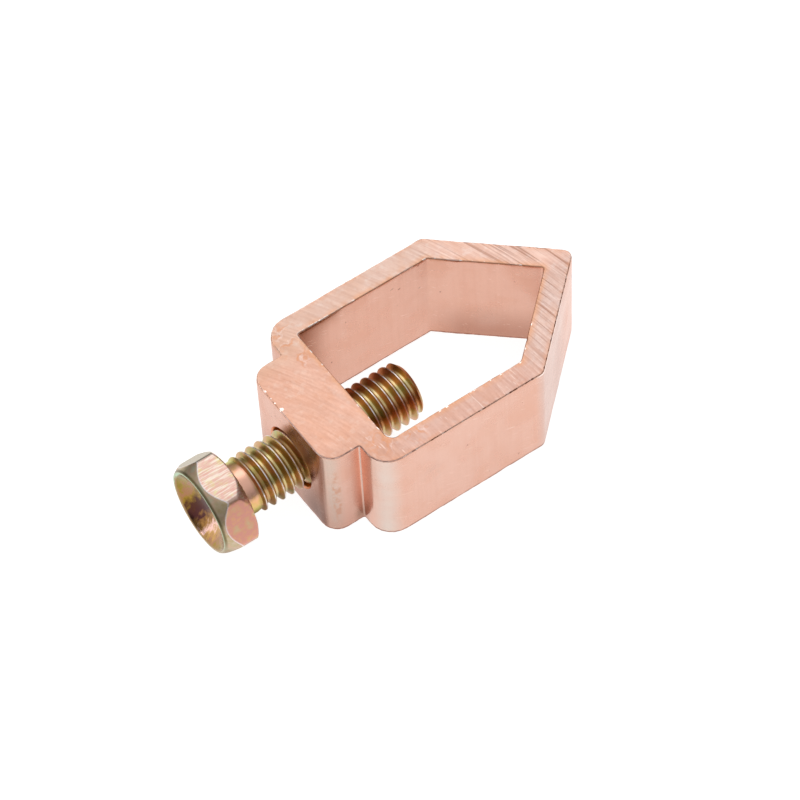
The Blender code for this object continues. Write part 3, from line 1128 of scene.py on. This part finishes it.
# Painted highlight: white glints at four nicks on the boss's front edge.
nick_glint = spots(
    place,
    ((-1.95, -5.5, TOP), 0.7),
    ((-6.04, -5.55, TOP), 0.40),
    ((-4.48, -5.6, TOP), 0.30),
    ((-3.48, -5.6, TOP), 0.30),
)
chipped = grain(place, 2.6, 2, 37) - 0.5
nick_glint = remap(nick_glint + chipped * 1.3, 0.5, 0.7)
painted_glint = larger(larger(outer_shine, inner_shine), nick_glint)
colour = mix(painted_glint, colour, (1.0, 0.86, 0.79))
# Painted shade: darker along the bottom edges, next to the floor.
low_edge_shade = remap(larger(near_outer, near_inner), 0.78, 0.9) * remap(z, 0.6, 1.2, 1, 0)
colour = mix(low_edge_shade * remap(ragged, 0.38, 0.5, 0.5, 1), colour, (0.26, 0.09, 0.06))

rough = remap(fine, 0, 1, 0.46, 0.38) - painted_glint * 0.15
rough = rough + near_side * remap(near_outer, 0.78, 0.9, 0, 0.4)
relief = lines * 0.22 + pepper * 0.5 - groove
end_finish("copper_sawn", colour, relief, 0.012, rough)

# %% [markdown]
# ## Drawn copper
#
# The walls were drawn through a die, so they are smoother than the sawn faces and any line on
# them runs along the length of the bar, which is upwards here. They are smooth enough to mirror
# their neighbours softly, and the deeper orange this gives the concave corner is painted in as a
# painted reflection, over painted shade at its foot. Painted shade also darkens the left inner
# corner, the inner walls, the boss's walls, the low front of the boss and the bottom edges.
# Painted highlights give the pale bands on the rounded corners, the line down the concave corner
# and the bright lip on the right slope, and painted sheen makes that slope pale. Handling added a
# few slanting scratches, pits, greyish smudges and a browner mark on the boss's corner. The same
# noise is used again, stretched upwards this time.

# %% Paint the walls
place = start_finish("copper_drawn", Specular_Tint=(0.95, 0.88, 0.85))
x, y, z = parts(place)
in_plan = stretch(place, 1, 1, 0)
drawn = grain(stretch(place, 2.4, 2.4, 0.05), 1, 2, 11)
wide_drawn = grain(stretch(place, 0.3, 0.3, 0.04), 1, 2, 12)
cloud = grain(place, 0.2, 5, 13)
pepper = grain(place, 1.8, 3, 17)
colour = mix(remap(drawn, 0.3, 0.7), (0.715, 0.425, 0.335), (0.735, 0.455, 0.36))
colour = mix(remap(wide_drawn, 0.38, 0.64, 0, 0.5), colour, (0.76, 0.49, 0.4))
colour = mix(remap(cloud, 0.44, 0.66, 0, 0.6), colour, (0.71, 0.395, 0.29))
colour = mix(remap(pepper, 0.52, 0.74, 0, 0.22), colour, (0.69, 0.42, 0.34))

# Painted highlights: pale bands down the rounded corners of the shoulder and the boss.
patchy = remap(cloud, 0.3, 0.6, 0.85, 0.5)
shoulder_highlight = spot(in_plan, (14.4, 1.4, 0), 3.0) * patchy
colour = mix(shoulder_highlight, colour, (0.68, 0.6, 0.54))
boss_corner_highlight = spot(in_plan, (9.3, -4.8, 0), 2.2) * patchy
colour = mix(boss_corner_highlight, colour, (0.56, 0.5, 0.43))
mark = spot(stretch(place, 1, 1, 0.11), (9.6, -4.2, 0.95), 1.0)
mark = remap(mark, 0.1, 0.45) * remap(grain(place, 1.1, 4, 23), 0.44, 0.56)
colour = mix(mark * 0.75, colour, (0.58, 0.3, 0.2))
# Painted reflection: the concave corner a deeper orange, going over to painted shade towards its
# foot.
in_corner = spot(in_plan, (10.05, 0.0, 0), 1.7)
corner_glow_and_shade = mix(remap(z, 1, 8), (0.44, 0.2, 0.13), (0.96, 0.56, 0.42))
colour = mix(in_corner * 0.6, colour, corner_glow_and_shade)
# Painted shade at the foot of the concave corner.
corner_foot_shade = spot(stretch(place, 1, 1, 0.55), (9.7, -0.7, 0.9), 1.5)
colour = mix(corner_foot_shade * 0.85, colour, (0.22, 0.13, 0.08))
# Painted highlight: a pale line down the fillet of the concave corner.
corner_highlight_line = remap(spot(in_plan, (10.14, -0.09, 0), 0.28), 0.5, 0.76)
colour = mix(corner_highlight_line * remap(z, 1, 12, 0.35, 0.7), colour, (0.52, 0.42, 0.38))
# Painted shade in the ring's left inner corner.
base_corner_shade = spot(stretch(place, 1, 1, 0.12), (-11.6, 4.1, 2.2), 6.2)
colour = mix(base_corner_shade, colour, (0.36, 0.15, 0.09))
to_middle = abs(x)
inside_ring = remap(to_middle, 12.7, 12.3) * remap(y, 3.7, 3.9)
inside_ring = inside_ring * remap(to_middle + y, 41.5, 40.5)
low_slope = remap(y, 27, 31) * remap(z, 9, 1, 0, 1, smooth=True)
# Painted shade: the ring's inner walls a little darker, and much darker low on the inner slopes
# near the point.
colour = mix(inside_ring * 0.9, colour, multiplied(colour, (0.97, 0.91, 0.88)))
colour = mix(low_slope * inside_ring * 0.72, colour, (0.42, 0.2, 0.14))
# Painted shade: the boss's walls darker, the more the nearer the bottom.
around_boss = remap(to_middle, 11.6, 11.0) * remap(y, 0.2, -0.4)
shade_lower_down = remap(z, 0, 13, 0.55, 0.12)
colour = mix(around_boss * shade_lower_down, colour, (0.4, 0.2, 0.15))
# Painted shade: the low front of the boss much darker, more to the right, standing in for a
# reflection of the shade under the bolt.
low_front_shade = remap(y, -5.3, -5.65) * remap(z, 10, 1, 0, 0.85, smooth=True)
colour = mix(low_front_shade * remap(x, 2, 6, 0.35, 1), colour, (0.13, 0.05, 0.035))
# Painted sheen: the outer wall of the right slope paler near the point.
sheen_slope = remap(x, 4, 8) * remap(y + x * 1.03, 43.5, 45.0)
colour = mix(sheen_slope * 0.6, colour, (0.64, 0.5, 0.46))
smudge = spot(place, (15.5, 9.0, 10.5), 3.2) * remap(grain(place, 0.7, 4, 18), 0.42, 0.62)
smudge = larger(smudge, spot(place, (-7.0, 35.0, 5.0), 4.0) * 0.7)
colour = mix(smudge * 0.5, colour, (0.62, 0.42, 0.35))

slanting = whole(x + z * 0.5, y + z * 2.2, z)
handled = remap(grain(stretch(slanting, 2.0, 2.0, 0.15), 1, 1, 14), 0.69, 0.72)
colour = mix(handled * 0.35, colour, (0.9, 0.68, 0.58))
pit = remap(grain(place, 1.3, 0, 24), 0.825, 0.845)
colour = mix(pit * 0.7, colour, (0.34, 0.16, 0.12))
near_edge = larger(stored("outer_edge"), stored("inner_edge"))
edge_stain = remap(near_edge, 0.3, 0.9) * remap(grain(place, 0.8, 4, 19), 0.42, 0.58)
colour = mix(edge_stain * 0.35, colour, (0.66, 0.31, 0.19))
# Painted shade: darker along the bottom edges, next to the floor.
low_edge_shade = remap(near_edge, 0.56, 0.74) * remap(z, 0.6, 1.2, 1, 0)
low_edge_shade = low_edge_shade * remap(grain(place, 1.5, 2, 38), 0.38, 0.5, 0.4, 1)
colour = mix(low_edge_shade * 0.9, colour, (0.22, 0.08, 0.05))
# Painted highlight: a bright lip along the top edge of that slope.
lip_highlight = remap(near_edge, 0.5, 0.7) * remap(z, 16.5, 17.5)
colour = mix(lip_highlight * sheen_slope, colour, (1.0, 0.93, 0.9))
blot = spot(place, (0.85, 45.05, 14.0), 0.75)
colour = mix(remap(blot, 0.1, 0.5), colour, (0.1, 0.02, 0.04))
relief = drawn * 0.3 + wide_drawn * 0.7 + pepper * 0.15 - pit * 0.6
end_finish("copper_drawn", colour, relief, 0.01, remap(cloud, 0.35, 0.7, 0.22, 0.31))

# %% [markdown]
# ## Cut copper
#
# The chamfer tool leaves a thin bright rim round each mouth, more orange than the rest because the
# metal is fresh. Deeper in, the hole is painted almost black, a painted shade for the gap round the
# bolt. How far a point is from the bolt's axis tells the two apart, and noise that changes quickly
# along the axis adds the tool's faint rings.

# %% Paint the hole
AXIS_X_MM = 1000 * AXIS_X
AXIS_Z_MM = 1000 * AXIS_Z
MOUTH_RIM_MM = 1000 * MOUTH_RADIUS


def from_bolt_axis(place):
    """How far a point is from the bolt's axis, in mm."""
    x, _, z = parts(place)
    aside, above = x - AXIS_X_MM, z - AXIS_Z_MM
    return calc("SQRT", aside * aside + above * above)


place = start_finish("copper_thread", Specular_Tint=(0.80, 0.46, 0.32))
rings = grain(stretch(place, 0.4, 7, 0.4), 1, 2, 21)
cut = mix(remap(rings, 0.35, 0.65), (0.72, 0.33, 0.2), (0.92, 0.52, 0.37))
uneven_spread = from_bolt_axis(place) + grain(place, 0.9, 2, 22) * 0.2
at_rim = remap(uneven_spread, MOUTH_RIM_MM - 0.2, MOUTH_RIM_MM - 0.06)
# Painted shade: the hole almost black inside the bright rim.
colour = mix(at_rim, (0.07, 0.028, 0.016), cut)
end_finish("copper_thread", colour, rings, 0.006, remap(rings, 0.35, 0.65, 0.38, 0.26))

# %% [markdown]
# ## Yellow zinc
#
# The bolt is steel with a zinc coat that was dipped in a yellow passivating bath. The film is so
# thin that its colour changes with its thickness, from straw to pink, green and violet, in soft
# clouds of a millimetre or two. A colour ramp driven by noise gives those clouds. Where the film
# ran or was rubbed, the colours differ, so the thread, the flats, the crown and the dish have a
# ramp each.


# %% Write the plating helper
def plate(name, roughness, scale, contrast, seed, stops):
    """Opens a plated finish; returns the place and the colour of its clouds."""
    place = start_finish(name, Roughness=roughness)
    cloud = remap(grain(place, scale, 3, seed), 0.5 - contrast / 2, 0.5 + contrast / 2)
    return place, ramp(cloud, stops)


print("plating ready")

# %% Plate the thread
STRAW = (0.54, 0.36, 0.12)
OLIVE = (0.46, 0.34, 0.11)
PINK = (0.60, 0.34, 0.17)
GREEN = (0.42, 0.42, 0.18)
BARE_ZINC = (0.86, 0.81, 0.84)
CREST_MM = 1000 * CREST_RADIUS
ROOT_MM = 1000 * (CREST_RADIUS - THREAD_DEPTH)
UNDERSIDE_MM = 1000 * HEAD_UNDERSIDE

clouds = ((0.0, OLIVE), (0.3, STRAW), (0.5, PINK), (0.75, OLIVE), (1.0, GREEN))
place, colour = plate("zinc_thread", 0.33, 0.38, 0.34, 31, clouds)
x, y, z = parts(place)
inside = remap(y, 2, 10)
red_cloud = remap(grain(place, 0.6, 2, 34), 0.4, 0.6, 0.1, 0.6)
colour = mix(inside * red_cloud, colour, (0.66, 0.33, 0.14))
spread = from_bolt_axis(place)
# Painted highlight: a pale yellow line along the thread's root.
root_highlight = remap(spread, ROOT_MM + 0.04, ROOT_MM + 0.2, 1, 0)
colour = mix(root_highlight * 0.5, colour, (0.78, 0.7, 0.38))
at_crest = remap(spread, CREST_MM - 0.06, CREST_MM - 0.01)
rubbed_crest = remap(grain(place, 1.0, 2, 39), 0.4, 0.6, 0.35, 0.9)
colour = mix(at_crest * rubbed_crest, colour, BARE_ZINC)
on_neck = remap(y, UNDERSIDE_MM + 2.1, UNDERSIDE_MM + 2.7, 1, 0)
# Film colour mixed with painted highlight: round the neck the colours are laid out by direction,
# pinkest and palest where the light's highlight falls.
upper_side = (z - AXIS_Z_MM) / spread
right_side = (x - AXIS_X_MM) / spread
toward_highlight = upper_side * 0.88 + right_side * 0.47
ran = (grain(place, 0.6, 3, 35) - 0.5) * 0.9
neck_film_and_highlight = ramp(
    remap(toward_highlight + ran, -1, 1),
    (
        (0.0, (0.5, 0.4, 0.14)),
        (0.38, (0.28, 0.5, 0.34)),
        (0.5, (0.52, 0.54, 0.14)),
        (0.74, (0.62, 0.52, 0.14)),
        (0.86, (0.82, 0.46, 0.22)),
        (0.96, (0.93, 0.52, 0.38)),
    ),
)
colour = mix(on_neck, colour, neck_film_and_highlight)
end_finish("zinc_thread", colour, grain(place, 3.2, 2, 33), 0.006)

# %% [markdown]
# ## Six flats
#
# The flats were brushed along the bolt before plating, and each faces another way in the bath, so
# no two look alike. The one on top is cream and pink with lemon spots, the one beside it is a
# matte salmon, and the next is a greyish beige. How far a point lies out in a flat's own direction
# tells which flat it is on.

# %% Plate the flats
TOP_FLAT = 82
FLAT_MM = 500 * ACROSS_FLATS
CORNER_MM = FLAT_MM / math.cos(SIXTH / 2)
RIM_MM = 1000 * RIM_RADIUS
HEIGHT_MM = 1000 * HEAD_HEIGHT

clouds = (
    (0.0, (0.64, 0.56, 0.22)),
    (0.28, (0.64, 0.49, 0.37)),
    (0.5, (0.66, 0.41, 0.35)),
    (0.75, (0.64, 0.49, 0.37)),
    (1.0, (0.62, 0.60, 0.24)),
)
place, colour = plate("zinc_flats", 0.34, 0.55, 0.34, 41, clouds)
x, y, z = parts(place)
brushed = grain(stretch(place, 4.4, 0.4, 4.4), 1, 3, 42)
colour = mix(remap(brushed, 0.44, 0.56, 0, 0.65), colour, (0.6, 0.32, 0.27))
wiped = grain(stretch(place, 4.0, 0.36, 4.0), 1, 3, 44)
colour = mix(remap(wiped, 0.5, 0.6, 0, 0.65), colour, (0.78, 0.72, 0.62))
mottle = grain(place, 0.55, 5, 43)


def on_flat(centre_angle):
    """1 on the flat whose direction makes that angle with +X, seen along the bolt."""
    around = math.radians(centre_angle)
    across = (x - AXIS_X_MM) * math.cos(around)
    upward = (z - AXIS_Z_MM) * math.sin(around)
    return remap(across + upward, FLAT_MM - 0.25, FLAT_MM - 0.1)


salmon = ramp(
    remap(mottle, 0.34, 0.68),
    (
        (0.0, (0.6, 0.42, 0.25)),
        (0.3, (0.66, 0.34, 0.22)),
        (0.5, (0.66, 0.3, 0.25)),
        (0.75, (0.7, 0.37, 0.21)),
        (1.0, (0.56, 0.44, 0.28)),
    ),
)
colour = mix(on_flat(TOP_FLAT - 60), colour, salmon)
colour = mix(on_flat(TOP_FLAT + 60), colour, (0.46, 0.385, 0.255))
in_plan = from_bolt_axis(place)
corner = remap(in_plan, CORNER_MM - 0.22, CORNER_MM - 0.08)
colour = mix(corner * 0.7, colour, (0.56, 0.5, 0.44))
crown_steepness = 1000 * HEAD_SIZES["Crown Drop"] / (CORNER_MM - RIM_MM)
crown_line = HEIGHT_MM - (in_plan - RIM_MM) * crown_steepness
from_crown = crown_line - (UNDERSIDE_MM - y)
colour = mix(remap(from_crown, 0.1, 0.34, 0.75, 0), colour, (0.84, 0.8, 0.82))
end_finish("zinc_flats", colour, brushed + mottle * 0.5, 0.008)

# %% [markdown]
# ## Crown, rim and dish
#
# The blunt cone round the top took a dull olive film, rubbed lighter at the rim. The dish kept the
# thickest film, and it is still glossy, because nothing rubs it there. Across it the colour goes
# from gold over pink to a violet brown in the middle and back. The near-black band in the middle is
# a painted reflection of the dark room, and the pale pink band beyond it a painted highlight.

# %% Plate the crown
clouds = (
    (0.0, (0.45, 0.32, 0.15)),
    (0.4, (0.51, 0.41, 0.25)),
    (0.7, (0.58, 0.40, 0.27)),
    (1.0, (0.48, 0.46, 0.31)),
)
place, colour = plate("zinc_crown", 0.36, 0.50, 0.30, 51, clouds)
z = parts(place)[2]
spread = from_bolt_axis(place)
rubbed = remap(grain(place, 1.2, 4, 52), 0.46, 0.68)
colour = mix(rubbed * 0.5, colour, (0.6, 0.5, 0.38))
lower_half = remap(z, AXIS_Z_MM - 1, AXIS_Z_MM - 5, 0, 0.6)
colour = mix(lower_half, colour, (0.4, 0.29, 0.24))
at_rim = remap(spread, RIM_MM - 0.2, RIM_MM + 0.25, 1, 0)
upper_half = remap(z, AXIS_Z_MM - 3, AXIS_Z_MM + 1)
colour = mix(at_rim * 0.8, colour, mix(upper_half, (0.58, 0.5, 0.34), (0.38, 0.58, 0.4)))
past_rim = abs(spread - (RIM_MM + 0.1))
groove = remap(past_rim, 0.05, 0.18, 1, 0) * upper_half
colour = mix(groove * 0.8, colour, (0.13, 0.09, 0.03))
end_finish("zinc_crown", colour, grain(place, 1.8, 3, 53), 0.01)

# %% Plate the dish
DISH_ANGLE = math.radians(-28)

place = start_finish("zinc_dish", Roughness=0.22)
x, _, z = parts(place)
aside = (x - AXIS_X_MM) * math.cos(DISH_ANGLE)
above = (z - AXIS_Z_MM) * math.sin(DISH_ANGLE)
across_dish = (aside + above) / RIM_MM
pulled = (grain(stretch(place, 1.6, 0.6, 0.8), 1, 4, 64) - 0.5) * 0.7
# Film colours with painted light: the near-black band in the middle is a painted reflection, the
# pale pink stop a painted highlight.
colour = ramp(
    remap(across_dish + pulled, -1, 1),
    (
        (0.0, (0.2, 0.14, 0.015)),
        (0.14, (0.3, 0.2, 0.03)),
        (0.2, (0.36, 0.17, 0.09)),
        (0.27, (0.3, 0.18, 0.025)),
        (0.37, (0.085, 0.03, 0.018)),
        (0.5, (0.075, 0.024, 0.024)),
        (0.6, (0.34, 0.17, 0.045)),
        (0.69, (0.92, 0.58, 0.52)),
        (0.75, (0.54, 0.31, 0.09)),
        (0.83, (0.4, 0.2, 0.12)),
        (0.92, (0.34, 0.22, 0.04)),
        (1.0, (0.2, 0.13, 0.02)),
    ),
)
at_rim = remap(from_bolt_axis(place), RIM_MM - 0.62, RIM_MM - 0.45)
upper_right = remap(across_dish * 0.3 + (z - AXIS_Z_MM), 1.0, 3.0)
rim_film = mix(upper_right, (0.38, 0.24, 0.12), (0.32, 0.58, 0.36))
colour = mix(at_rim * 0.85, colour, rim_film)
end_finish("zinc_dish", colour, grain(place, 1.3, 3, 63) + pulled, 0.01)
